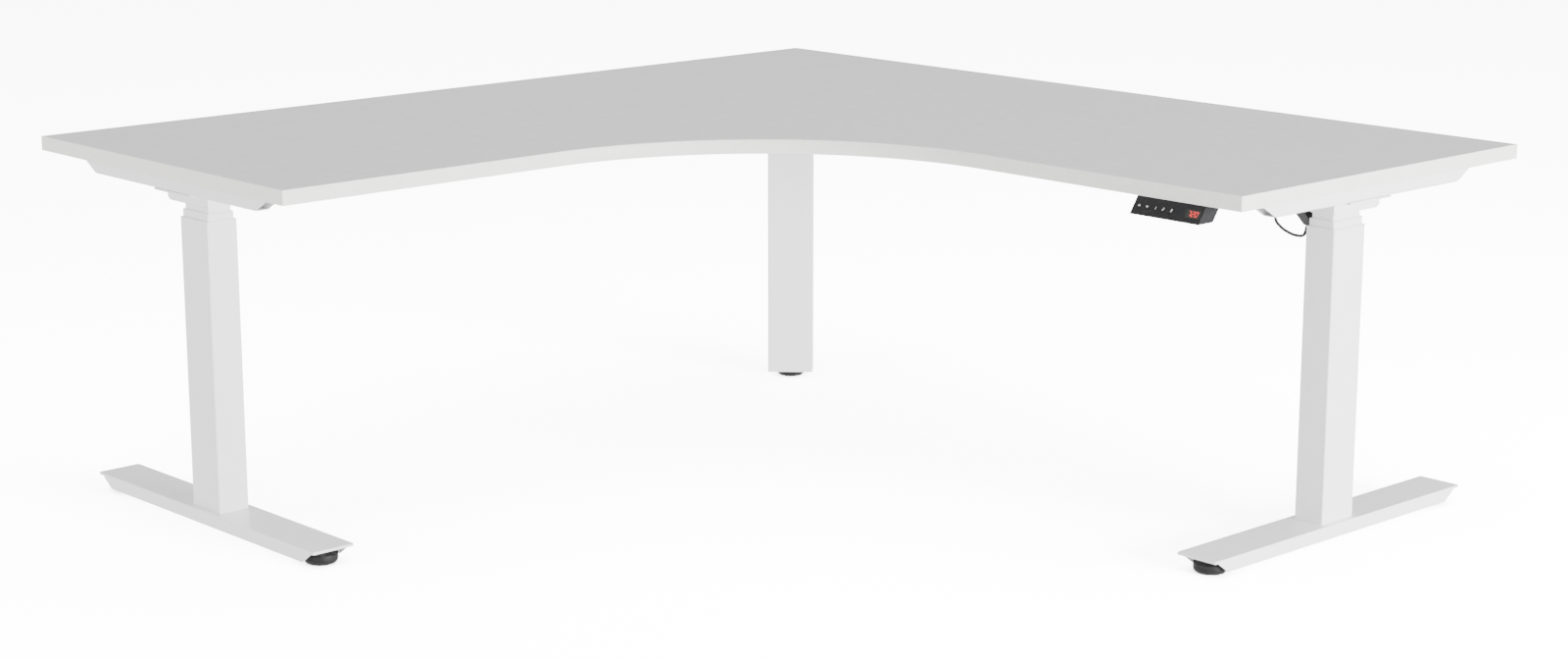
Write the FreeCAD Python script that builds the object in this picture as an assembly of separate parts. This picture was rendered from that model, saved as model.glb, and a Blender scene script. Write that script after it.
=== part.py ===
"""Height adjustable corner desk: an L-shaped top on three electric telescopic legs.

Frame: millimetres, +Z up, origin on the floor under the middle of the top's square outline.
The back corner of the top is at (-X, +Y). The right wing runs along +X and the left wing
along -Y, and the desk is a mirror image of itself about the diagonal through that corner.
Everything is drawn fully retracted, which is the lowest position.
"""
import FreeCAD
import Part
import math
import os

V = FreeCAD.Vector

# Top
WING = 1800.0            # back edge of each wing
DEPTH = 750.0            # depth of each wing
HEIGHT = 640.0           # top surface above the floor, retracted
BOARD_T = 25.0
BAND_T = 2.0
INNER_R = 500.0          # rounded inner corner between the wings

# Legs: x is the narrow way, y is front to back, z up; both in the leg's own frame
TRAVEL = 325.0           # travel of each of the two telescopic stages
SIDE_OUTER = (58.0, 84.0)
REAR_OUTER = (92.0, 66.0)
LEG_INSET = 97.0         # from the end of a wing to the middle of its leg
REAR_INSET = 237.0       # from each back edge to the middle of the rear leg
OUTER_WALL = 1.8
INNER_WALL = 1.6
STAGE_GAP = (1.8, 1.0)   # air between one stage and the next, in x and y
TUBE_R = 2.5
OUTER_TOP = 535.0
MIDDLE_STEP = 13.0       # how far the middle stage shows above the outer one
MIDDLE_FLOOR_GAP = 10.0  # from the leg's base plate to the middle stage
INNER_FLOOR_GAP = 8.0    # from the middle stage's end to the inner stage
GLIDE_H = 30.0
GLIDE_CLEAR = 0.3
DIMPLE_D = 3.2
DIMPLE_DEEP = 0.6
DIMPLE_DROP = 19.0       # below the outer stage's top
DIMPLE_SPREAD = 0.3      # of the tube's width, to each side of its middle

# Feet
FOOT_L = 675.0
FOOT_W = 80.0
FOOT_PLATE_T = 4.4
FOOT_TOP = 32.6
CHANNEL_W = 76.0
CHANNEL_WALL = 2.0
CHANNEL_LOW = 8.0
CHANNEL_INSET = 8.5      # end of the channel from the end of the plate, at the top
CHANNEL_SLANT = 28.0     # how much further in it ends at the bottom
PAD_D = 57.0
PAD_H = 18.0             # side pads reach up inside the channel
PAD_LOW_R = 9.0
PAD_HIGH_R = 2.0
PAD_STUD_GAP = 4.0       # from a stud's tip to the underside of the foot's plate
NUT_GAP = 1.0            # from a pad to the nut above it
PAD_FROM_END = 37.5
STUD_D = 8.0
STUD_CLEAR = 0.15        # between a stud and its threaded hole, on the radius
NUT_D = 16.0
REAR_LOW = 12.0
BASE_T = 4.0

# Head of a leg and the frame under the top
HEAD_H = 25.5
HEAD_WALL = 1.6
HEAD_FIT = 0.2
HEAD_BACK = 50.0         # reach of the head behind the inner stage
HEAD_CHAMFER = (8.0, 4.8)   # length and rise
PLATE_T = 3.0
PLATE_BACK = 58.0
PLATE_FRONT = 53.0
RELIEF_D = 3.0
RELIEF_IN = 4.5          # from the head's front
RELIEF_UP = 1.0          # above the head's lower edge
RAIL_H = 29.0            # brackets and rails fill this height under the top
BRACKET_W = 26.0
BRACKET_IN = 30.5        # from the end of a wing to the bracket
BRACKET_L = 590.0
BRACKET_SLANT = 48.0
BRACKET_WALL = 2.0
BRACKET_BEND_R = 3.0
RAIL_W = 40.0
RAIL_WALL = 2.0
RAIL_BACK = 62.0         # rail's middle behind the leg's middle
RAIL_INNER_END = 120.0   # from the rear leg's middle to a rail's inner end
REAR_PLATE = (220.0, 200.0, 70.0)   # width, reach to the front, reach to the back
REAR_CHANNEL_L = 300.0
REAR_CHANNEL_GAP = 2.0   # from the rear gearbox to the channel behind it
BRACKET_SCREW = 200.0    # from the leg's middle to each bracket screw
RAIL_SCREW_OUT = 160.0   # from the side leg's middle to the nearest rail screw
RAIL_SCREW_IN = 90.0     # from a rail's inner end to its last screw
REAR_SCREW = 105.0       # from the rear leg's middle to each screw of the rear channel
SCREW_D = 4.5
SCREW_DEEP = 13.0
SCREW_HEAD = (9.0, 2.5)
SCREW_CLEAR = 0.3

# Drive
GEARBOX = (46.0, 60.0, 26.0)
MOTOR_D = 44.0
MOTOR_L = 96.0
MOTOR_GAP = 4.0          # from the head to the motor
MOTOR_ROOM = 2.0         # around the motor, where the rear plate is cut out for it
MOTOR_SINK = 2.0         # from the underside of the top to the motor
MOTOR_GLAND = (39.2, 14.0, 51.0)   # from the motor's inner end, to the rear, below the top
COLLAR_D = 18.0
SCREW_A_D = 12.0         # solid spindle, turned by the gearbox
SCREW_A_LOW = 100.0
SCREW_A_OVER = 8.0       # how far it stands above the worm wheel's middle
WHEEL_D = 34.0
WHEEL_T = 10.0
WHEEL_CLEAR = 1.0        # around the worm wheel in the gearbox
WHEEL_END_CLEAR = 2.0    # under the wheel and over the spindle's end
SCREW_B_D = 22.0         # hollow spindle, turned by the solid one
SCREW_B_BORE = 15.0
STAND_D = 31.0
STAND_WALL = 2.5
CARRIER_D = 38.0
CARRIER_WALL = 1.5
CARRIER_TOP = 480.0
CARRIER_CAP = 8.0
STAND_TOP = 430.0
NUT_H = 24.0
SPIN_CLEAR = 0.3
SEAT_GAP = 0.3

# Electrics
HANDSET_L = 139.0
HANDSET_H = 27.0
HANDSET_TOP_D = 36.0
HANDSET_LEAN = 19.0      # how far the lower edge stands in front of the upper one
HANDSET_FROM_END = 69.0
BUTTON_D = 10.0
BUTTON_T = 2.4
BUTTON_PROUD = 0.4
BUTTON_CLEAR = 0.3
BUTTON_POCKET = 3.4
BUTTON_FIRST = 12.0
BUTTON_PITCH = 16.3
BUTTONS = ("up", "down", "memory_1", "memory_2", "memory_3")
WINDOW = (28.0, 15.0, 1.0)
WINDOW_FROM_END = 4.5
WINDOW_FIT = 0.1
BOX = (270.0, 112.0, 26.0)   # control box: along the wing, front to back, height
BOX_TOP_GAP = 2.0
BOX_R = 3.0
BOX_LUG = 16.0           # side of the two square lugs that hold the box to the top
BOX_LUG_IN = 20.0
BOX_MOTOR_GLAND = (16.2, 58.0, 11.0)   # in from the box's end, its rear, and below it
BOX_HANDSET_GLAND = 68.2               # in from the box's end
BOX_END_GAP = 11.0       # from the box to the head of the right leg
BOX_FRONT = 42.0         # the box's rear face in front of the leg's middle
INLET_W = 22.0
INLET_DROP = 59.0
INLET_T = 30.0
INLET_LEAN = 62.0
INLET_IN = 12.0
GLAND_D = 10.0
GLAND_L = 5.0
GLAND_SEAT = 4.0         # how deep a gland is rooted in the control box
HANDSET_GLAND = (8.0, 41.0, 14.0)      # from the case's end, behind the front edge, below the top
CORD_D = 5.0

# Routes of the two leads, in the desk's frame
MOTOR_LEAD = [(752, 425, 576), (752, 425, 551), (754, 443, 533), (756, 472, 518), (754, 503, 511),
              (744, 524, 515), (737, 538, 536), (736, 539, 564)]
HANDSET_LEAD = [(700, 191, 601), (700, 228, 601), (703, 283, 590), (700, 334, 600), (700, 366, 600)]

BOARD_LOW = HEIGHT - BOARD_T
PLATE_TOP = BOARD_LOW - RAIL_H
HEAD_TOP = PLATE_TOP - PLATE_T
HEAD_LOW = HEAD_TOP - HEAD_H
HALF = WING / 2
FRONT = HALF - DEPTH
MIDDLE_TOP = OUTER_TOP + MIDDLE_STEP
INNER_TOP = HEAD_TOP - SEAT_GAP
DIAGONAL = V(1, 1, 0)
LEG_X = HALF - LEG_INSET
LEG_Y = HALF - DEPTH / 2
REAR_CHANNEL_Y = GEARBOX[1] / 2 + REAR_CHANNEL_GAP + BRACKET_W / 2
HANDSET_X = HALF - HANDSET_FROM_END
FACE_SLOPE = math.degrees(math.atan2(HANDSET_LEAN, HANDSET_H))
FACE_L = math.hypot(HANDSET_LEAN, HANDSET_H)


def block(x0, x1, y0, y1, z0, z1):
    return Part.makeBox(x1 - x0, y1 - y0, z1 - z0, V(x0, y0, z0))


def rod(x, y, d, z0, z1):
    return Part.makeCylinder(d / 2, z1 - z0, V(x, y, z0))


def rounded(size, r, z0, z1):
    """Upright bar with a rounded rectangular section centred on the leg's axis."""
    bar = block(-size[0] / 2, size[0] / 2, -size[1] / 2, size[1] / 2, z0, z1)
    upright = [e for e in bar.Edges if abs(e.BoundBox.ZLength - (z1 - z0)) < 1e-6]
    return bar.makeFillet(r, upright)


def shrink(size, by):
    return tuple(s - 2 * b for s, b in zip(size, by))


def hollow(size, wall, z0, z1):
    inside = shrink(size, (wall, wall))
    return rounded(size, TUBE_R, z0, z1).cut(rounded(inside, TUBE_R - wall, z0 - 1, z1 + 1))


def extruded(points, direction):
    return Part.Face(Part.makePolygon(points + points[:1])).extrude(direction)


def mirrored(shape):
    """The left wing's twin of a shape on the right wing."""
    return shape.mirror(V(0, 0, 0), DIAGONAL)


def placed(shape, leg):
    """Put a shape drawn in a leg's own frame where that leg stands."""
    moved = shape.copy()
    if leg == "rear":
        moved.rotate(V(0, 0, 0), V(0, 0, 1), 45)
        moved.translate(V(-HALF + REAR_INSET, HALF - REAR_INSET, 0))
        return moved
    moved.translate(V(LEG_X, LEG_Y, 0))
    return mirrored(moved) if leg == "left" else moved


def save(name, shape):
    shape.exportStep("parts/" + name + ".step")


# Sections of the stages, worked from the outside in
def middle_size(outer):
    return shrink(shrink(outer, (OUTER_WALL, OUTER_WALL)), STAGE_GAP)


def inner_size(outer):
    return shrink(shrink(middle_size(outer), (INNER_WALL, INNER_WALL)), STAGE_GAP)


def base_top(leg):
    return REAR_LOW + BASE_T if leg == "rear" else FOOT_TOP + BASE_T


# Top
def outline(inset, z0, z1):
    """The L-shaped outline, with a rounded inner corner, moved in by inset."""
    edge = HALF - inset
    front = FRONT + inset
    r = INNER_R + inset
    c = INNER_R - FRONT
    straight = Part.makePolygon([V(c, front, z0), V(edge, front, z0), V(edge, edge, z0),
                                 V(-edge, edge, z0), V(-edge, -edge, z0), V(-front, -edge, z0),
                                 V(-front, -c, z0)])
    middle = V(c - r * math.sqrt(0.5), -c + r * math.sqrt(0.5), z0)
    curve = Part.Arc(V(-front, -c, z0), middle, V(c, front, z0)).toShape()
    return Part.Face(Part.Wire(straight.Edges + [curve])).extrude(V(0, 0, z1 - z0))


def screw_places():
    """Where the wood screws go, as (x, y): brackets, rails and the rear channel."""
    bracket_x = HALF - BRACKET_IN - BRACKET_W / 2
    side = [(bracket_x, LEG_Y + dy) for dy in (-BRACKET_SCREW, BRACKET_SCREW)]
    rail_y = LEG_Y + RAIL_BACK
    rail_end = -HALF + REAR_INSET + RAIL_INNER_END
    side += [(x, rail_y) for x in (LEG_X - RAIL_SCREW_OUT, 0, rail_end + RAIL_SCREW_IN)]
    twins = [(-y, -x) for x, y in side]
    back = REAR_CHANNEL_Y * math.sqrt(0.5)
    rear = []
    for along in (-REAR_SCREW, REAR_SCREW):
        dx = along * math.sqrt(0.5)
        rear.append((-HALF + REAR_INSET + dx - back, HALF - REAR_INSET + dx + back))
    return side + twins + rear


def with_holes(shape, d, z0, z1):
    for x, y in screw_places():
        if shape.BoundBox.isInside(V(x, y, (shape.BoundBox.ZMin + shape.BoundBox.ZMax) / 2)):
            shape = shape.cut(rod(x, y, d, z0, z1))
    return shape


def desktop_board():
    board = outline(BAND_T, BOARD_LOW, HEIGHT)
    return with_holes(board, SCREW_D, BOARD_LOW - 1, BOARD_LOW + SCREW_DEEP)


def desktop_edge_band():
    return outline(0, BOARD_LOW, HEIGHT).cut(outline(BAND_T, BOARD_LOW - 1, HEIGHT + 1))


def desktop_screws():
    screws = []
    for x, y in screw_places():
        shank = rod(x, y, SCREW_D, PLATE_TOP, BOARD_LOW + SCREW_DEEP)
        screws.append(shank.fuse(rod(x, y, SCREW_HEAD[0], PLATE_TOP - SCREW_HEAD[1], PLATE_TOP)))
    return Part.makeCompound(screws)


# Legs, in the leg's own frame
def outer_tube(outer, leg):
    low = REAR_LOW if leg == "rear" else FOOT_TOP
    tube = hollow(outer, OUTER_WALL, low, OUTER_TOP)
    tube = tube.fuse(rounded(shrink(outer, (OUTER_WALL, OUTER_WALL)), TUBE_R - OUTER_WALL,
                             low, low + BASE_T))
    if leg == "rear":
        tube = tube.cut(rod(0, 0, STUD_D + 2 * STUD_CLEAR, low - 1, low + BASE_T + 1))
    z = OUTER_TOP - DIMPLE_DROP
    for side in (-1, 1):
        x = side * outer[0] / 2
        y = side * outer[1] / 2
        for across in (-DIMPLE_SPREAD, DIMPLE_SPREAD):
            wide = Part.makeCylinder(DIMPLE_D / 2, DIMPLE_DEEP * 2,
                                     V(x - DIMPLE_DEEP, across * outer[1], z), V(1, 0, 0))
            tube = tube.cut(wide)
        tube = tube.cut(Part.makeCylinder(DIMPLE_D / 2, DIMPLE_DEEP * 2,
                                          V(0, y - DIMPLE_DEEP, z), V(0, 1, 0)))
    return tube


def middle_tube(outer, leg):
    return hollow(middle_size(outer), INNER_WALL, base_top(leg) + MIDDLE_FLOOR_GAP, MIDDLE_TOP)


def inner_tube(outer, leg):
    low = base_top(leg) + MIDDLE_FLOOR_GAP + PLATE_T + INNER_FLOOR_GAP
    return hollow(inner_size(outer), INNER_WALL, low, INNER_TOP)


def glides(stage, wall, inside, top):
    """Plastic guide strips in the mouth of a stage, clear of the stage that slides in it."""
    ring = rounded(shrink(stage, (wall, wall)), TUBE_R - wall, top - GLIDE_H, top)
    hole = shrink(inside, (-GLIDE_CLEAR, -GLIDE_CLEAR))
    return ring.cut(rounded(hole, TUBE_R, top - GLIDE_H - 1, top + 1))


def stand_tube(leg):
    """Spindle nut that stands on the base plate, inside everything else."""
    low = base_top(leg)
    tube = rod(0, 0, STAND_D, low, STAND_TOP)
    tube = tube.cut(rod(0, 0, STAND_D - 2 * STAND_WALL, low - 1, STAND_TOP - NUT_H))
    return tube.cut(rod(0, 0, SCREW_B_D + 2 * SPIN_CLEAR, STAND_TOP - NUT_H - 1, STAND_TOP + 1))


def spindle_carrier(outer, leg):
    """Plate and tube on the middle stage that hold the hollow spindle from above."""
    low = base_top(leg) + MIDDLE_FLOOR_GAP
    inside = shrink(middle_size(outer), (INNER_WALL, INNER_WALL))
    plate = rounded(inside, TUBE_R - INNER_WALL, low, low + PLATE_T)
    tube = plate.fuse(rod(0, 0, CARRIER_D, low, CARRIER_TOP))
    tube = tube.cut(rod(0, 0, CARRIER_D - 2 * CARRIER_WALL, low - 1, CARRIER_TOP - CARRIER_CAP))
    return tube.cut(rod(0, 0, SCREW_B_BORE + 2 * SPIN_CLEAR, CARRIER_TOP - CARRIER_CAP - 1,
                        CARRIER_TOP + 1))


def hollow_spindle(leg):
    low = base_top(leg) + MIDDLE_FLOOR_GAP
    top = CARRIER_TOP - CARRIER_CAP - SPIN_CLEAR
    return rod(0, 0, SCREW_B_D, low, top).cut(rod(0, 0, SCREW_B_BORE, low - 1, top + 1))


def solid_spindle():
    """Spindle with the worm wheel that the motor turns on its upper end."""
    top = PLATE_TOP + GEARBOX[2] / 2
    spindle = rod(0, 0, SCREW_A_D, SCREW_A_LOW, top + SCREW_A_OVER)
    return spindle.fuse(rod(0, 0, WHEEL_D, top - WHEEL_T / 2, top + WHEEL_T / 2))


def head_half(outer):
    return inner_size(outer)[0] / 2 + HEAD_FIT + HEAD_WALL


def head(outer):
    """Folded steel head: the inner stage ends in it, and it reaches back under the rail."""
    inner = inner_size(outer)
    cavity = shrink(inner, (-HEAD_FIT, -HEAD_FIT))
    x = head_half(outer)
    front = -cavity[1] / 2 - HEAD_WALL
    back = inner[1] / 2 + HEAD_BACK
    chamfer, rise = HEAD_CHAMFER
    side = [V(-x, front, HEAD_LOW), V(-x, back - chamfer, HEAD_LOW), V(-x, back, HEAD_LOW + rise),
            V(-x, back, HEAD_TOP), V(-x, front, HEAD_TOP)]
    shell = extruded(side, V(2 * x, 0, 0))
    shell = shell.cut(rounded(cavity, TUBE_R, HEAD_LOW - 1, HEAD_TOP + 1))
    shell = shell.cut(block(-x + HEAD_WALL, x - HEAD_WALL, cavity[1] / 2 + HEAD_WALL, back - HEAD_WALL,
                            HEAD_LOW + rise, HEAD_TOP + 1))
    relief = Part.makeCylinder(RELIEF_D / 2, 2 * x + 2,
                               V(-x - 1, front + RELIEF_IN, HEAD_LOW + RELIEF_UP), V(1, 0, 0))
    return shell.cut(relief)


def head_plate(outer, leg):
    """Flat plate that joins the head to the side bracket, or to the rails at the rear leg."""
    if leg == "rear":
        side = REAR_PLATE[0] / 2
        plate = block(-side, side, -REAR_PLATE[1], REAR_PLATE[2], HEAD_TOP, PLATE_TOP)
        room = MOTOR_D / 2 + MOTOR_ROOM
        plate = plate.cut(block(-side - 1, -head_half(outer) - 1, -room, room, HEAD_TOP - 1, PLATE_TOP + 1))
    else:
        outboard = LEG_INSET - BRACKET_IN
        plate = block(-head_half(outer), outboard, -PLATE_FRONT, PLATE_BACK, HEAD_TOP, PLATE_TOP)
    return plate.cut(rod(0, 0, SCREW_A_D + 2 * SPIN_CLEAR, HEAD_TOP - 1, PLATE_TOP + 1))


def gearmotor(outer):
    """Gearbox over the spindle with the motor lying beside it, away from the bracket."""
    x, y, z = GEARBOX[0] / 2, GEARBOX[1] / 2, GEARBOX[2]
    middle = BOARD_LOW - MOTOR_SINK - MOTOR_D / 2
    box = block(-x, x, -y, y, PLATE_TOP, PLATE_TOP + z)
    wheel = PLATE_TOP + z / 2
    room = rod(0, 0, WHEEL_D + 2 * WHEEL_CLEAR, wheel - WHEEL_T / 2 - WHEEL_END_CLEAR,
               wheel + SCREW_A_OVER + WHEEL_END_CLEAR)
    box = box.cut(room.fuse(rod(0, 0, SCREW_A_D + 2 * SPIN_CLEAR, PLATE_TOP - 1, wheel)))
    start = -head_half(outer) - MOTOR_GAP
    collar = Part.makeCylinder(COLLAR_D / 2, 1 - x - start, V(start, 0, wheel), V(1, 0, 0))
    can = Part.makeCylinder(MOTOR_D / 2, MOTOR_L, V(start, 0, middle), V(-1, 0, 0))
    along, behind, drop = MOTOR_GLAND
    gland = rod(start - along, behind, GLAND_D, BOARD_LOW - drop, middle)
    return box.fuse(collar).fuse(can).fuse(gland)


# Feet
def foot():
    """Floor foot of a side leg: a flat plate welded on an inverted channel with slanted ends."""
    half = FOOT_L / 2
    under = FOOT_TOP - FOOT_PLATE_T
    plate = rounded((FOOT_W, FOOT_L), TUBE_R, under, FOOT_TOP)
    high = half - CHANNEL_INSET
    low = high - CHANNEL_SLANT
    w = CHANNEL_W / 2
    side = [V(-w, -high, under), V(-w, high, under), V(-w, low, CHANNEL_LOW), V(-w, -low, CHANNEL_LOW)]
    channel = extruded(side, V(CHANNEL_W, 0, 0))
    channel = channel.cut(block(-w + CHANNEL_WALL, w - CHANNEL_WALL, -half, half, 0, under - CHANNEL_WALL))
    whole = plate.fuse(channel)
    for y in (-half + PAD_FROM_END, half - PAD_FROM_END):
        whole = whole.fuse(rod(0, y, NUT_D, PAD_H + NUT_GAP, under))
        whole = whole.cut(rod(0, y, STUD_D + 2 * STUD_CLEAR, 0, under - 1))
    return whole.removeSplitter()


def levelling_pad(height, stud_top):
    """Round pad with softened rims, on a stud that screws up into the foot."""
    pad = Part.makeCylinder(PAD_D / 2, height)
    rims = [e for e in pad.Edges if isinstance(e.Curve, Part.Circle)]
    pad = pad.makeFillet(PAD_LOW_R, [e for e in rims if e.BoundBox.ZMax < height / 2])
    rims = [e for e in pad.Edges if e.BoundBox.ZMin > height - 1e-6 and isinstance(e.Curve, Part.Circle)]
    pad = pad.makeFillet(PAD_HIGH_R, rims)
    return pad.fuse(rod(0, 0, STUD_D, height - 1, stud_top))


def pad_places():
    ends = FOOT_L / 2 - PAD_FROM_END
    return {"right_front": ("right", -ends), "right_back": ("right", ends),
            "left_front": ("left", -ends), "left_back": ("left", ends)}


# Frame under the top, in the desk's frame
def side_bracket():
    """Open-topped channel along the end of a wing, with its ends cut on a slant."""
    x0 = HALF - BRACKET_IN - BRACKET_W
    x1 = HALF - BRACKET_IN
    high = BRACKET_L / 2
    low = high - BRACKET_SLANT
    side = [V(x0, LEG_Y - high, BOARD_LOW), V(x0, LEG_Y + high, BOARD_LOW),
            V(x0, LEG_Y + low, PLATE_TOP), V(x0, LEG_Y - low, PLATE_TOP)]
    channel = extruded(side, V(BRACKET_W, 0, 0))
    bends = [e for e in channel.Edges if e.BoundBox.ZMax < PLATE_TOP + 1e-6 and e.BoundBox.XLength < 1e-6]
    channel = channel.makeFillet(BRACKET_BEND_R, bends)
    channel = channel.cut(block(x0 + BRACKET_WALL, x1 - BRACKET_WALL, LEG_Y - high - 1, LEG_Y + high + 1,
                                PLATE_TOP + BRACKET_WALL, BOARD_LOW + 1))
    return with_holes(channel, SCREW_D + 2 * SCREW_CLEAR, PLATE_TOP - 1, BOARD_LOW)


def cross_rail():
    """Tube along the wing, from the side bracket to the rear leg's plate."""
    y = LEG_Y + RAIL_BACK
    x0 = -HALF + REAR_INSET + RAIL_INNER_END
    x1 = HALF - BRACKET_IN - BRACKET_W
    tube = block(x0, x1, y - RAIL_W / 2, y + RAIL_W / 2, PLATE_TOP, BOARD_LOW)
    tube = tube.cut(block(x0 - 1, x1 + 1, y - RAIL_W / 2 + RAIL_WALL, y + RAIL_W / 2 - RAIL_WALL,
                          PLATE_TOP + RAIL_WALL, BOARD_LOW - RAIL_WALL))
    return with_holes(tube, SCREW_D + 2 * SCREW_CLEAR, PLATE_TOP - 1, BOARD_LOW + 1)


def rear_channel():
    """Channel across the diagonal, welded on the rear plate behind the gearbox."""
    half = REAR_CHANNEL_L / 2
    y0 = REAR_CHANNEL_Y - BRACKET_W / 2
    y1 = REAR_CHANNEL_Y + BRACKET_W / 2
    channel = block(-half, half, y0, y1, PLATE_TOP, BOARD_LOW)
    channel = channel.cut(block(-half - 1, half + 1, y0 + BRACKET_WALL, y1 - BRACKET_WALL,
                                PLATE_TOP + BRACKET_WALL, BOARD_LOW + 1))
    return with_holes(placed(channel, "rear"), SCREW_D + 2 * SCREW_CLEAR, PLATE_TOP - 1, BOARD_LOW)


# Electrics
def on_face(shape):
    """Lay a shape on the handset's face: x along it, y up it, z out of it."""
    moved = shape.copy()
    moved.rotate(V(0, 0, 0), V(1, 0, 0), 90 - FACE_SLOPE)
    moved.translate(V(HANDSET_X - HANDSET_L, FRONT - HANDSET_LEAN, BOARD_LOW - HANDSET_H))
    return moved


def button_place(index):
    return V(BUTTON_FIRST + index * BUTTON_PITCH, FACE_L / 2, 0)


def handset_housing():
    x1 = HANDSET_X
    x0 = x1 - HANDSET_L
    low = BOARD_LOW - HANDSET_H
    side = [V(x0, FRONT, BOARD_LOW), V(x0, FRONT - HANDSET_LEAN, low),
            V(x0, FRONT - HANDSET_LEAN + HANDSET_TOP_D, low), V(x0, FRONT + HANDSET_TOP_D, BOARD_LOW)]
    case = extruded(side, V(HANDSET_L, 0, 0))
    for index in range(len(BUTTONS)):
        hole = Part.makeCylinder(BUTTON_D / 2 + BUTTON_CLEAR, BUTTON_POCKET + 1,
                                 button_place(index) - V(0, 0, BUTTON_POCKET))
        case = case.cut(on_face(hole))
    case = case.cut(on_face(window_plate(WINDOW_FIT, 1)))
    along, behind, drop = HANDSET_GLAND
    root = V(x0 + along, FRONT + HANDSET_TOP_D - HANDSET_LEAN, BOARD_LOW - drop)
    return case.fuse(Part.makeCylinder(GLAND_D / 2, FRONT + behind - root.y, root, V(0, 1, 0)))


def window_plate(grow=0.0, over=0.0):
    x = HANDSET_L - WINDOW_FROM_END - WINDOW[0] - grow
    y = (FACE_L - WINDOW[1]) / 2 - grow
    return block(x, x + WINDOW[0] + 2 * grow, y, y + WINDOW[1] + 2 * grow, -WINDOW[2], over)


def button(index):
    at = button_place(index) + V(0, 0, BUTTON_PROUD - BUTTON_T)
    return on_face(Part.makeCylinder(BUTTON_D / 2, BUTTON_T, at))


def box_corner():
    """The control box's corner next to the right leg's head, at its rear and underside."""
    x = LEG_X - inner_size(SIDE_OUTER)[0] / 2 - HEAD_FIT - HEAD_WALL - BOX_END_GAP
    y = LEG_Y - BOX_FRONT
    return x, y, BOARD_LOW - BOX_TOP_GAP - BOX[2]


def control_box():
    x, y, z = box_corner()
    case = block(x - BOX[0], x, y - BOX[1], y, z, z + BOX[2])
    long_edges = [e for e in case.Edges if e.BoundBox.XLength > BOX[0] - 1]
    case = case.makeFillet(BOX_R, long_edges)
    half = BOX_LUG / 2
    lug_y = y - BOX[1] / 2
    for lug_x in (x - BOX[0] + BOX_LUG_IN, x - BOX_LUG_IN):
        case = case.fuse(block(lug_x - half, lug_x + half, lug_y - half, lug_y + half,
                               z + BOX[2] - 1, BOARD_LOW))
    along, behind, drop = BOX_MOTOR_GLAND
    case = case.fuse(rod(x - along, y - behind, GLAND_D, z - drop, z + GLAND_SEAT))
    root = V(x - BOX_HANDSET_GLAND, y - BOX[1] - GLAND_L, z + BOX[2] / 2)
    return case.fuse(Part.makeCylinder(GLAND_D / 2, GLAND_L + GLAND_SEAT, root, V(0, 1, 0)))


def mains_inlet():
    """Inlet housing that leans down from the control box beside the right leg."""
    x, y, z = box_corner()
    x0 = x - INLET_IN - INLET_W / 2
    side = [V(x0, y - INLET_T, z), V(x0, y, z), V(x0, y + INLET_LEAN, z - INLET_DROP),
            V(x0, y + INLET_LEAN - INLET_T, z - INLET_DROP)]
    return extruded(side, V(INLET_W, 0, 0))


def lead(points):
    """Round cable: straight runs joined by the largest tangent arcs that fit between them."""
    points = [V(*p) for p in points]
    edges = []
    last = points[0]
    for before, at, after in zip(points, points[1:], points[2:]):
        into = (at - before).normalize()
        out = (after - at).normalize()
        reach = 0.45 * min((at - before).Length, (after - at).Length)
        start = at - into * reach
        end = at + out * reach
        half_turn = into.getAngle(out) / 2
        to_corner = at - (start + end) * 0.5
        depth = reach * (1 / math.cos(half_turn) - 1) / math.tan(half_turn) if half_turn else 0
        middle = at - to_corner.normalize() * depth
        edges.append(Part.LineSegment(last, start).toShape())
        edges.append(Part.Arc(start, middle, end).toShape())
        last = end
    edges.append(Part.LineSegment(last, points[-1]).toShape())
    path = Part.Wire(edges)
    along = (points[1] - points[0]).normalize()
    section = Part.Wire(Part.makeCircle(CORD_D / 2, points[0], along))
    return path.makePipeShell([section], True, False)


def save_leg(leg, outer):
    middle = middle_size(outer)
    inner = inner_size(outer)
    save(leg + "_outer_tube", placed(outer_tube(outer, leg), leg))
    save(leg + "_middle_tube", placed(middle_tube(outer, leg), leg))
    save(leg + "_inner_tube", placed(inner_tube(outer, leg), leg))
    save(leg + "_outer_glides", placed(glides(outer, OUTER_WALL, middle, OUTER_TOP), leg))
    save(leg + "_middle_glides", placed(glides(middle, INNER_WALL, inner, MIDDLE_TOP), leg))
    save(leg + "_stand_tube", placed(stand_tube(leg), leg))
    save(leg + "_spindle_carrier", placed(spindle_carrier(outer, leg), leg))
    save(leg + "_hollow_spindle", placed(hollow_spindle(leg), leg))
    save(leg + "_solid_spindle", placed(solid_spindle(), leg))
    save(leg + "_head", placed(head(outer), leg))
    plate = placed(head_plate(outer, leg), leg)
    if leg == "rear":
        plate = with_holes(plate, SCREW_HEAD[0] + 2 * SCREW_CLEAR, HEAD_TOP - 1, PLATE_TOP)
        plate = plate.fuse(rear_channel())
    save(leg + "_head_plate", plate)
    save(leg + "_gearmotor", placed(gearmotor(outer), leg))


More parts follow.
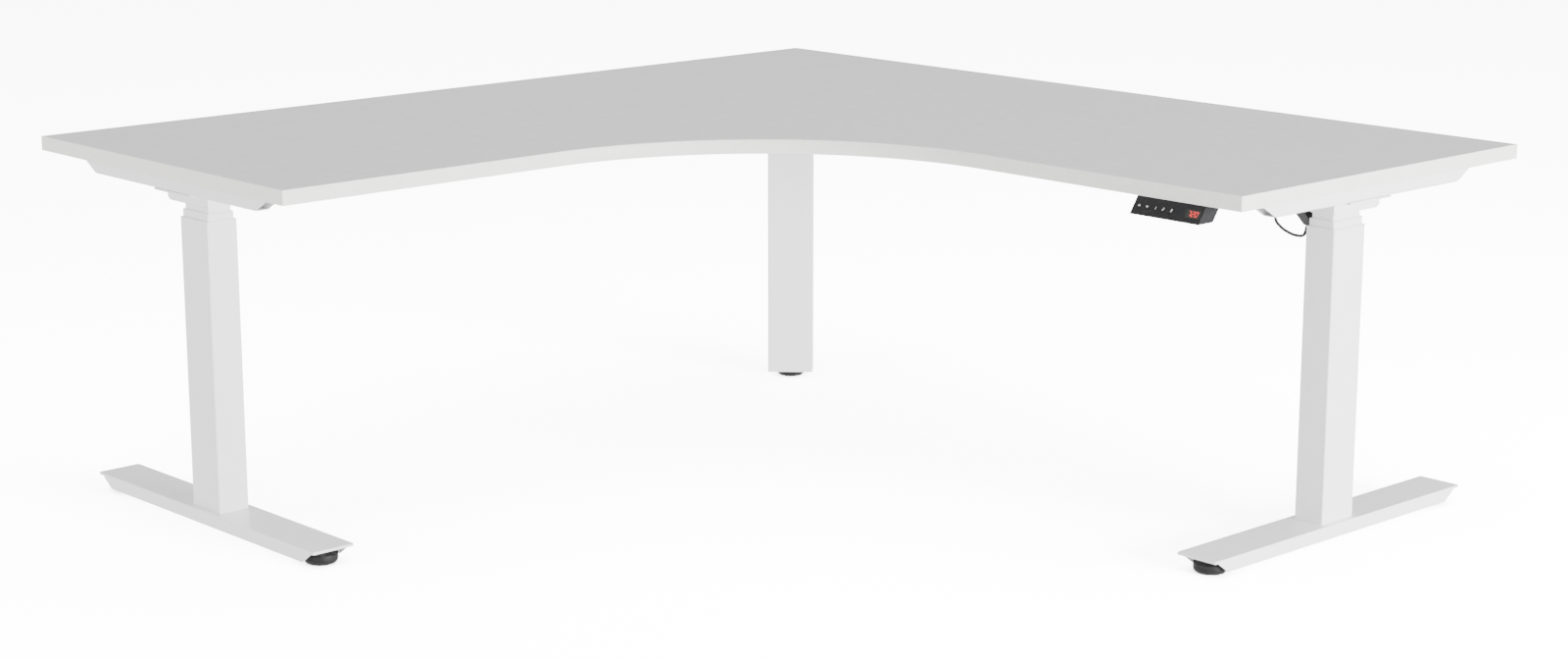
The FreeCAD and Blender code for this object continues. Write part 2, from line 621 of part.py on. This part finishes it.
def main():
    os.makedirs("parts", exist_ok=True)
    save("desktop_board", desktop_board())
    save("desktop_edge_band", desktop_edge_band())
    save("desktop_screws", desktop_screws())
    save_leg("right", SIDE_OUTER)
    save_leg("left", SIDE_OUTER)
    save_leg("rear", REAR_OUTER)
    for leg in ("right", "left"):
        save(leg + "_foot", placed(foot(), leg))
    for name, (leg, y) in pad_places().items():
        pad = levelling_pad(PAD_H, FOOT_TOP - FOOT_PLATE_T - PAD_STUD_GAP)
        pad.translate(V(0, y, 0))
        save(name + "_pad", placed(pad, leg))
    save("rear_pad", placed(levelling_pad(REAR_LOW - SEAT_GAP, REAR_LOW + BASE_T), "rear"))
    save("right_bracket", side_bracket())
    save("left_bracket", mirrored(side_bracket()))
    save("cross_rails", Part.makeCompound([cross_rail(), mirrored(cross_rail())]))
    save("handset_housing", handset_housing())
    save("display_window", on_face(window_plate()))
    for index, name in enumerate(BUTTONS):
        save("button_" + name, button(index))
    save("control_box", control_box())
    save("mains_inlet", mains_inlet())
    save("motor_lead", lead(MOTOR_LEAD))
    save("handset_lead", lead(HANDSET_LEAD))


main()
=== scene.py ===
import bmesh
import bpy
import math
from mathutils import Matrix, Vector


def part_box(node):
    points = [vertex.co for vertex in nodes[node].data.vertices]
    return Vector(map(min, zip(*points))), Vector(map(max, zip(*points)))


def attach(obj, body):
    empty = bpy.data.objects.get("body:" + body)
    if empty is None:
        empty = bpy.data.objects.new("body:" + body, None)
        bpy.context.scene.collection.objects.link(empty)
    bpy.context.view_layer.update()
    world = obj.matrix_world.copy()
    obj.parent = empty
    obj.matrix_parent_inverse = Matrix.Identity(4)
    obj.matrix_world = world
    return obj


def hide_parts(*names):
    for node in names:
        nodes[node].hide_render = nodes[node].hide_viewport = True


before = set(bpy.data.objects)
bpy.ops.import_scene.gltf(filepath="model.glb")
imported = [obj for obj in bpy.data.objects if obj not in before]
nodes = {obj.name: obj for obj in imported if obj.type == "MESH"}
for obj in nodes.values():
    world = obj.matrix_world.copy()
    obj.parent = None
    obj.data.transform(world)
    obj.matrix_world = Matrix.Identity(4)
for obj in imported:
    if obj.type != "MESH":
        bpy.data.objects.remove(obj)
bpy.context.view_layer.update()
mm = 0.001

# Camera
# A long studio lens at standing height in front of the inner corner, so that both wings of
# the desk open towards it and every leg is in view.
camera_place = Vector((3.6435, -3.3673, 1.4212))
camera_gaze = Vector((-0.71394, 0.66497, -0.2194))

camera = bpy.data.objects.new("camera", bpy.data.cameras.new("camera"))
camera.location = camera_place
camera.rotation_euler = camera_gaze.to_track_quat("-Z", "Y").to_euler()
camera.data.lens = 66.79
camera.data.clip_end = 60
bpy.context.scene.collection.objects.link(camera)
bpy.context.scene.camera = camera


# Leads
# Two round black cables under the right wing: one hangs in a loop from the control box to
# the right leg's motor, the other joins the handset to the control box.
lead_thickness = 5 * mm
motor_route = [(752, 425, 576), (752, 425, 551), (754, 443, 533), (756, 472, 518), (754, 503, 511),
               (744, 524, 515), (737, 538, 536), (736, 539, 564)]
handset_route = [(700, 191, 601), (700, 228, 601), (703, 283, 590), (700, 334, 600), (700, 366, 600)]


def material(name, colour, roughness, metallic=0.0, shine=0.5):
    """New material with its plain values on the shader's own sockets."""
    made = bpy.data.materials.new(name)
    made.use_nodes = True
    shader = made.node_tree.nodes["Principled BSDF"]
    shader.inputs["Base Color"].default_value = (*colour, 1)
    shader.inputs["Roughness"].default_value = roughness
    shader.inputs["Metallic"].default_value = metallic
    shader.inputs["Specular IOR Level"].default_value = shine
    return made


def mottle(made, scale, dark, light, detail=4.0):
    """Let the colour wander between two tones in patches of the given scale."""
    tree = made.node_tree
    place = tree.nodes.new("ShaderNodeTexCoord")
    noise = tree.nodes.new("ShaderNodeTexNoise")
    noise.inputs["Scale"].default_value = scale
    noise.inputs["Detail"].default_value = detail
    ramp = tree.nodes.new("ShaderNodeValToRGB")
    ramp.color_ramp.elements[0].position = 0.35
    ramp.color_ramp.elements[0].color = (*dark, 1)
    ramp.color_ramp.elements[1].position = 0.65
    ramp.color_ramp.elements[1].color = (*light, 1)
    tree.links.new(place.outputs["Object"], noise.inputs["Vector"])
    tree.links.new(noise.outputs["Fac"], ramp.inputs["Fac"])
    tree.links.new(ramp.outputs["Color"], tree.nodes["Principled BSDF"].inputs["Base Color"])


def grain(made, scale, strength, depth):
    """Fine surface relief: noise of the given scale, as a bump of the given depth in metres."""
    tree = made.node_tree
    place = tree.nodes.new("ShaderNodeTexCoord")
    noise = tree.nodes.new("ShaderNodeTexNoise")
    noise.inputs["Scale"].default_value = scale
    noise.inputs["Detail"].default_value = 3.0
    bump = tree.nodes.new("ShaderNodeBump")
    bump.inputs["Strength"].default_value = strength
    bump.inputs["Distance"].default_value = depth
    tree.links.new(place.outputs["Object"], noise.inputs["Vector"])
    tree.links.new(noise.outputs["Fac"], bump.inputs["Height"])
    tree.links.new(bump.outputs["Normal"], tree.nodes["Principled BSDF"].inputs["Normal"])


lead_rubber = material("lead_rubber", (0.010, 0.010, 0.011), 0.45, shine=0.2)
mottle(lead_rubber, 180, (0.008, 0.008, 0.009), (0.013, 0.013, 0.014))
grain(lead_rubber, 900, 0.25, 0.0002)


def lay_lead(name, route):
    """Smooth round cable through its route, riding with the top."""
    curve = bpy.data.curves.new(name, "CURVE")
    curve.dimensions = "3D"
    line = curve.splines.new("NURBS")
    line.points.add(len(route) - 1)
    for point, at in zip(line.points, route):
        point.co = (*(Vector(at) * mm), 1)
    line.order_u = 3
    line.use_endpoint_u = True
    curve.bevel_depth = lead_thickness / 2
    curve.bevel_resolution = 5
    curve.use_fill_caps = True
    line.resolution_u = 12
    curve.materials.append(lead_rubber)
    piece = bpy.data.objects.new(name + "_cable", curve)
    bpy.context.scene.collection.objects.link(piece)
    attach(piece, "top")
    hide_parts(name)


lay_lead("motor_lead", motor_route)
lay_lead("handset_lead", handset_route)


def turned(name, profile, made, body, place=(0, 0, 0), along=(0, 0, 1), sides=40):
    """Turned or moulded round piece: (radius, height) profile in mm, spun about its own axis."""
    mesh = bpy.data.meshes.new(name)
    shape = bmesh.new()
    edge = [shape.verts.new((radius * mm, 0, height * mm)) for radius, height in profile]
    line = [shape.edges.new(pair) for pair in zip(edge, edge[1:])]
    bmesh.ops.spin(shape, geom=edge + line, cent=(0, 0, 0), axis=(0, 0, 1), angle=math.tau, steps=sides)
    bmesh.ops.remove_doubles(shape, verts=shape.verts, dist=0.000005)
    bmesh.ops.recalc_face_normals(shape, faces=shape.faces)
    lean = Vector(along).to_track_quat("Z", "Y").to_matrix().to_4x4()
    shape.transform(Matrix.Translation(place) @ lean)
    shape.to_mesh(mesh)
    shape.free()
    mesh.shade_smooth()
    mesh.set_sharp_from_angle(angle=math.radians(35))
    mesh.materials.append(made)
    piece = bpy.data.objects.new(name, mesh)
    bpy.context.scene.collection.objects.link(piece)
    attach(piece, body)
    return piece


boot_profile = [(0, 0.2), (4.4, 0.2), (4.6, 1.0), (4.2, 3.5), (3.6, 3.5), (3.6, 4.3), (3.9, 4.3),
                (3.4, 7.5), (3.0, 7.5), (3.0, 8.2), (3.2, 8.2), (2.9, 12.0), (0, 12.0)]
for lead_name, route in (("motor_lead", motor_route), ("handset_lead", handset_route)):
    for end_name, at, towards in (("start", route[0], route[1]), ("end", route[-1], route[-2])):
        boot = turned(lead_name + "_boot_" + end_name, boot_profile, lead_rubber, "top",
                      Vector(at) * mm, Vector(towards) - Vector(at))


# Studio
# A flat white floor under a pale sky, with broad soft lights above and to both sides. The
# floor is left out of reflections and bounced light, so it can be bright enough to stay
# white while the desk keeps its tones.
def area_light(name, place, aim, size, power):
    light = bpy.data.lights.new(name, "AREA")
    light.shape = "RECTANGLE"
    light.size, light.size_y = size
    light.energy = power
    lamp = bpy.data.objects.new(name, light)
    lamp.location = place
    lamp.rotation_euler = (Vector(aim) - Vector(place)).to_track_quat("-Z", "Y").to_euler()
    bpy.context.scene.collection.objects.link(lamp)


area_light("overhead", (0.3, 0.3, 4.2), (0, 0, 0), (5.0, 5.0), 95)
area_light("right_side", (5.2, 0.6, 0.75), (0.0, 0, 0.35), (3.0, 1.3), 760)
area_light("left_side", (-1.4, -4.6, 0.8), (-0.5, -0.8, 0.35), (2.0, 1.2), 120)

sky = bpy.data.worlds.new("studio")
sky.use_nodes = True
sky_tree = sky.node_tree
sky_place = sky_tree.nodes.new("ShaderNodeTexCoord")
sky_height = sky_tree.nodes.new("ShaderNodeSeparateXYZ")
sky_spread = sky_tree.nodes.new("ShaderNodeMapRange")
sky_spread.inputs["From Min"].default_value = -1.0
sky_tones = sky_tree.nodes.new("ShaderNodeValToRGB")
sky_tones.color_ramp.elements.new(0.5)
sky_heights = (0.40, 0.50, 0.95)
sky_greys = (1.0, 0.37, 0.62)
for tone, place, grey in zip(sky_tones.color_ramp.elements, sky_heights, sky_greys):
    tone.position = place
    tone.color = (grey, grey, grey, 1)
sky_glow = sky_tree.nodes["Background"]
sky_glow.inputs["Strength"].default_value = 2.2
sky_tree.links.new(sky_place.outputs["Generated"], sky_height.inputs["Vector"])
sky_tree.links.new(sky_height.outputs["Z"], sky_spread.inputs["Value"])
sky_tree.links.new(sky_spread.outputs["Result"], sky_tones.inputs["Fac"])
sky_tree.links.new(sky_tones.outputs["Color"], sky_glow.inputs["Color"])
bpy.context.scene.world = sky

floor_mesh = bpy.data.meshes.new("floor")
reach = 30
floor_gain = 7.0
floor_glow = 1.0
floor_mesh.from_pydata([(-reach, -reach, 0), (reach, -reach, 0), (reach, reach, 0), (-reach, reach, 0)],
                       [], [(0, 1, 2, 3)])
floor = bpy.data.objects.new("floor", floor_mesh)
bpy.context.scene.collection.objects.link(floor)
floor_paint = bpy.data.materials.new("floor_paint")
floor_paint.use_nodes = True
floor_tree = floor_paint.node_tree
floor_white = floor_tree.nodes.new("ShaderNodeBsdfDiffuse")
floor_white.inputs["Color"].default_value = (floor_gain, floor_gain, floor_gain, 1)
floor_light = floor_tree.nodes.new("ShaderNodeEmission")
floor_light.inputs["Strength"].default_value = floor_glow
floor_sum = floor_tree.nodes.new("ShaderNodeAddShader")
floor_tree.links.new(floor_white.outputs["BSDF"], floor_sum.inputs[0])
floor_tree.links.new(floor_light.outputs["Emission"], floor_sum.inputs[1])
floor_tree.links.new(floor_sum.outputs["Shader"], floor_tree.nodes["Material Output"].inputs["Surface"])
floor_tree.nodes.remove(floor_tree.nodes["Principled BSDF"])
floor.visible_diffuse = False
floor.visible_glossy = False
floor_mesh.materials.append(floor_paint)


# Desktop
# One L-shaped board of chipboard, faced with light grey matt melamine and closed all
# round with a thick off-white edge band, glued on and trimmed flush.
def finish_nodes(made, *names):
    """Give CAD nodes their finish."""
    for name in names:
        for slot in nodes[name].material_slots:
            slot.material = made


def soften(width, *names):
    """Round the sharp edges of CAD nodes by a small radius."""
    for name in names:
        weld = nodes[name].modifiers.new("weld", "WELD")
        weld.merge_threshold = 0.00002
        bevel = nodes[name].modifiers.new("soften", "BEVEL")
        bevel.width = width
        bevel.segments = 2
        bevel.limit_method = "ANGLE"
        bevel.angle_limit = math.radians(40)
        bevel.harden_normals = True


laminate = material("laminate", (0.60, 0.60, 0.61), 0.55)
mottle(laminate, 60, (0.585, 0.585, 0.595), (0.625, 0.625, 0.63), 8)
grain(laminate, 900, 0.15, 0.0002)
edge_plastic = material("edge_plastic", (0.80, 0.79, 0.76), 0.5)
mottle(edge_plastic, 90, (0.78, 0.77, 0.74), (0.82, 0.81, 0.785))
grain(edge_plastic, 1200, 0.15, 0.0002)
finish_nodes(laminate, "desktop_board")
finish_nodes(edge_plastic, "desktop_edge_band")
trimmed_edge = 0.6 * mm
soften(trimmed_edge, "desktop_edge_band")


# Steel frame
# Legs, feet, heads, brackets and rails are folded or drawn steel in a white powder coat
# with the slight orange peel that the baked powder has.
powder_coat = material("powder_coat", (0.86, 0.86, 0.86), 0.22)
mottle(powder_coat, 25, (0.85, 0.85, 0.85), (0.87, 0.87, 0.87))
grain(powder_coat, 700, 0.2, 0.0003)
for leg in ("right", "left", "rear"):
    finish_nodes(powder_coat, leg + "_outer_tube", leg + "_middle_tube", leg + "_inner_tube",
                 leg + "_head", leg + "_head_plate")
finish_nodes(powder_coat, "right_foot", "left_foot", "right_bracket", "left_bracket", "cross_rails")
coated_edge = 0.5 * mm
soften(coated_edge, "right_foot", "left_foot", "right_bracket", "left_bracket", "right_head", "left_head")


# Drive
# Turned steel spindles with grease on them, white acetal guides in the tubes, and a black
# gearmotor on each leg. None of it shows until the desk is raised or turned over.
def uneven_gloss(made, scale, low, high):
    """Let the roughness wander between two values."""
    tree = made.node_tree
    place = tree.nodes.new("ShaderNodeTexCoord")
    noise = tree.nodes.new("ShaderNodeTexNoise")
    noise.inputs["Scale"].default_value = scale
    spread = tree.nodes.new("ShaderNodeMapRange")
    spread.inputs["To Min"].default_value = low
    spread.inputs["To Max"].default_value = high
    tree.links.new(place.outputs["Object"], noise.inputs["Vector"])
    tree.links.new(noise.outputs["Fac"], spread.inputs["Value"])
    tree.links.new(spread.outputs["Result"], tree.nodes["Principled BSDF"].inputs["Roughness"])


bright_steel = material("bright_steel", (0.55, 0.55, 0.57), 0.3, 1.0)
uneven_gloss(bright_steel, 120, 0.22, 0.4)
acetal = material("acetal", (0.78, 0.78, 0.77), 0.45)
grain(acetal, 600, 0.1, 0.0002)
motor_paint = material("motor_paint", (0.02, 0.02, 0.021), 0.4)
grain(motor_paint, 800, 0.3, 0.0003)
for leg in ("right", "left", "rear"):
    finish_nodes(bright_steel, leg + "_stand_tube", leg + "_spindle_carrier", leg + "_hollow_spindle",
                 leg + "_solid_spindle")
    finish_nodes(acetal, leg + "_outer_glides", leg + "_middle_glides")
    finish_nodes(motor_paint, leg + "_gearmotor")


# Motors
# The can of each gearmotor is a drawn steel cup with a crimped end cap and a boss for the
# rear bearing, in black paint.
motor_reach = {"right": (-1, 0, 0), "left": (0, 1, 0), "rear": (-math.sqrt(0.5), -math.sqrt(0.5), 0)}
motor_radius = 22.0
motor_sink = 2.0
motor_cap = [(0, 0.3), (5.0, 0.3), (5.5, -0.2), (5.5, -0.9), (14.0, -0.9), (14.5, -0.4), (20.5, -0.4),
             (22.3, -1.6), (22.3, -6.0), (22.0, -6.4)]
for leg, reach in motor_reach.items():
    low, high = (Vector(corner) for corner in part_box(leg + "_gearmotor"))
    tube = [Vector(corner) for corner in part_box(leg + "_outer_tube")]
    middle = (tube[0] + tube[1]) / 2
    way = Vector(reach)
    far = max((Vector((x, y, 0)) - middle).dot(way) for x in (low.x, high.x) for y in (low.y, high.y))
    if leg == "rear":
        far -= motor_radius * mm
    at = middle + way * far
    at.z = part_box("desktop_board")[0][2] - (motor_sink + motor_radius) * mm
    cap = turned(leg + "_motor_cap", motor_cap, motor_paint, "top", at, way)


# Handset
# A moulded black case screwed under the front edge, leaning out so that its face looks up
# at the user: five round keys with white symbols and a smoked window over a red display.
black_plastic = material("black_plastic", (0.011, 0.011, 0.012), 0.42, shine=0.2)
mottle(black_plastic, 140, (0.009, 0.009, 0.010), (0.014, 0.014, 0.015))
grain(black_plastic, 1100, 0.3, 0.0003)
window_plastic = material("window_plastic", (0.030, 0.032, 0.029), 0.18, shine=0.2)
uneven_gloss(window_plastic, 60, 0.14, 0.24)
symbol_ink = material("symbol_ink", (0.75, 0.75, 0.75), 0.6)
grain(symbol_ink, 900, 0.1, 0.0001)
digit_glow = material("digit_glow", (0.6, 0.02, 0.02), 0.4)
digit_shader = digit_glow.node_tree.nodes["Principled BSDF"]
digit_shader.inputs["Emission Color"].default_value = (1.0, 0.02, 0.02, 1)
digit_shader.inputs["Emission Strength"].default_value = 1.1
keys = ("up", "down", "memory_1", "memory_2", "memory_3")
finish_nodes(black_plastic, "handset_housing")
finish_nodes(window_plastic, "display_window")
for key in keys:
    finish_nodes(black_plastic, "button_" + key)
moulded_edge = 0.8 * mm
soften(moulded_edge, "handset_housing")

face_lean = 19.0
face_rise = 27.0
face_up = Vector((0, face_lean, face_rise)).normalized()
face_out = Vector((0, -face_rise, face_lean)).normalized()


def on_face(place, lift):
    """Matrix that lays a drawing in mm on the handset's face, centred on a point there."""
    turn = Matrix((Vector((1, 0, 0)), face_up, face_out)).transposed().to_4x4()
    return Matrix.Translation(place + face_out * lift * mm) @ turn @ Matrix.Scale(mm, 4)


def inlay(name, outlines, thickness, made, body, matrix):
    """Thin raised shapes: each outline is filled and given a thickness."""
    shape = bmesh.new()
    for outline in outlines:
        low = [shape.verts.new((x, y, 0)) for x, y in outline]
        high = [shape.verts.new((x, y, thickness)) for x, y in outline]
        shape.faces.new(low[::-1])
        shape.faces.new(high)
        for i in range(len(outline)):
            j = (i + 1) % len(outline)
            shape.faces.new((low[i], low[j], high[j], high[i]))
    bmesh.ops.recalc_face_normals(shape, faces=shape.faces)
    shape.transform(matrix)
    mesh = bpy.data.meshes.new(name)
    shape.to_mesh(mesh)
    shape.free()
    mesh.materials.append(made)
    piece = bpy.data.objects.new(name, mesh)
    bpy.context.scene.collection.objects.link(piece)
    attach(piece, body)


def stroke(a, b, width):
    """Bar from a to b with pointed ends, as one segment of a display."""
    a, b = Vector(a), Vector(b)
    way = (b - a).normalized()
    side = Vector((-way.y, way.x)) * width / 2
    tip = way * width / 2
    corners = (a, a + tip + side, b - tip + side, b, b - tip - side, a + tip - side)
    return [tuple(corner) for corner in corners]


button_lift = 1.2
ink_thickness = 0.12
arrow_reach = 2.3
arrow_foot = 1.6
arrow_tip = (0.4, 2.2)
arrow_width = 1.3
symbols = {}
for key, way in (("up", 1), ("down", -1)):
    symbols[key] = [stroke((-side * arrow_reach, -way * arrow_foot),
                           (side * arrow_tip[0], way * arrow_tip[1]), arrow_width) for side in (1, -1)]
for key, bars in symbols.items():
    low, high = (Vector(corner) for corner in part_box("button_" + key))
    for number, bar in enumerate(bars):
        inlay(f"symbol_{key}_{number}", [bar], ink_thickness, symbol_ink, "key_" + key,
              on_face((low + high) / 2, button_lift))

segments = {"a": ((0, 2), (1, 2)), "b": ((1, 1), (1, 2)), "c": ((1, 0), (1, 1)), "d": ((0, 0), (1, 0)),
            "e": ((0, 0), (0, 1)), "f": ((0, 1), (0, 2)), "g": ((0, 1), (1, 1))}
digits = {"0": "abcdef", "1": "bc", "2": "abged", "3": "abgcd", "7": "abc"}


def figure(character, size, width, lean=0.14):
    """Seven-segment figure, centred, leaning to the right."""
    def at(corner):
        x = (corner[0] - 0.5) * size[0]
        y = (corner[1] / 2 - 0.5) * size[1]
        return (x + lean * y, y)
    return [stroke(at(segments[lit][0]), at(segments[lit][1]), width) for lit in digits[character]]


number_size = (2.4, 4.4)
number_stroke = 0.9
for number in ("1", "2", "3"):
    low, high = (Vector(corner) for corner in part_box("button_memory_" + number))
    for part, bar in enumerate(figure(number, number_size, number_stroke)):
        inlay(f"symbol_memory_{number}_{part}", [bar], ink_thickness, symbol_ink, "key_memory_" + number,
              on_face((low + high) / 2, button_lift))

window_low, window_high = (Vector(corner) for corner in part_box("display_window"))
digit_size = (4.6, 8.6)
digit_stroke = 1.3
digit_thickness = 0.15
digit_pitch = 6.9
window_lift = 0.5
for place, character in enumerate("720"):
    centre = (window_low + window_high) / 2 + Vector(((place - 1) * digit_pitch * mm, 0, 0))
    for part, bar in enumerate(figure(character, digit_size, digit_stroke)):
        inlay(f"display_digit_{place}_{part}", [bar], digit_thickness, digit_glow, "top",
              on_face(centre, window_lift))


# Control box
# A moulded black case screwed under the top beside the right leg, with a row of ribs across
# the middle of its underside and an inlet housing that leans down from its end.
finish_nodes(black_plastic, "control_box", "mains_inlet")
soften(moulded_edge, "mains_inlet")
box_low, box_high = (Vector(corner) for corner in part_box("control_box"))
box_depth = 112.0
box_underside = 587.0
inlet_overhang = 30.0
box_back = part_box("mains_inlet")[0][1] + inlet_overhang * mm
rib_base = Vector(((box_low.x + box_high.x) / 2, box_back - box_depth * mm / 2, box_underside * mm))
rib_count = 9
rib_pitch = 9.0
rib_width = 3.5
rib_half = 24.0
rib_height = 0.8
for place in range(rib_count):
    x = (place - rib_count / 2) * rib_pitch
    rib = [(x, -rib_half), (x + rib_width, -rib_half), (x + rib_width, rib_half), (x, rib_half)]
    inlay(f"control_box_rib_{place}", [rib], rib_height, black_plastic, "top",
          Matrix.Translation(rib_base) @ Matrix.Scale(-mm, 4))


# Fixings
# Twelve zinc-plated wood screws, driven up through the brackets and rails into the top to
# hold the frame to it.
finish_nodes(bright_steel, "desktop_screws")


# Floor pads
# Bowl-shaped black rubber discs with a mould line round the side. Each turns on a stud that
# screws up into its foot, or into the rear leg, to level the desk.
pad_rubber = material("pad_rubber", (0.010, 0.010, 0.010), 0.5, shine=0.25)
mottle(pad_rubber, 120, (0.008, 0.008, 0.008), (0.013, 0.013, 0.013))
grain(pad_rubber, 800, 0.4, 0.0004)
pad_radius = 28.5
pad_bowl = 9.0
pad_crown = 2.0
mould_line = 0.5
mould_sink = 0.4
stud_radius = 4.0
stud_chamfer = 0.8
leg_pad_height = 11.7
foot_pad_height = 18.0


def pad_profile(height, top):
    """Bowl-shaped disc with a mould line round its side, and the stud above it."""
    turn = [math.radians(step * 10) for step in range(10)]
    bowl = [(pad_radius - pad_bowl * (1 - math.sin(a)), pad_bowl * (1 - math.cos(a))) for a in turn]
    line = [(pad_radius - mould_sink, pad_bowl + mould_line / 2), (pad_radius, pad_bowl + mould_line)]
    crown = [(pad_radius - pad_crown * (1 - math.cos(a)), height - pad_crown * (1 - math.sin(a)))
             for a in turn]
    stud = [(stud_radius, height), (stud_radius, top - stud_chamfer), (stud_radius - stud_chamfer, top),
            (0, top)]
    return [(0, 0)] + bowl + line + crown + stud


for pad in ("right_front", "right_back", "left_front", "left_back", "rear"):
    low, high = (Vector(corner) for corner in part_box(pad + "_pad"))
    pad_height = leg_pad_height if pad == "rear" else foot_pad_height
    middle = (low + high) / 2
    piece = turned(pad + "_floor_pad", pad_profile(pad_height, (high.z - low.z) / mm), pad_rubber,
                   pad + "_levelling_foot", (middle.x, middle.y, low.z), sides=64)
    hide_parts(pad + "_pad")
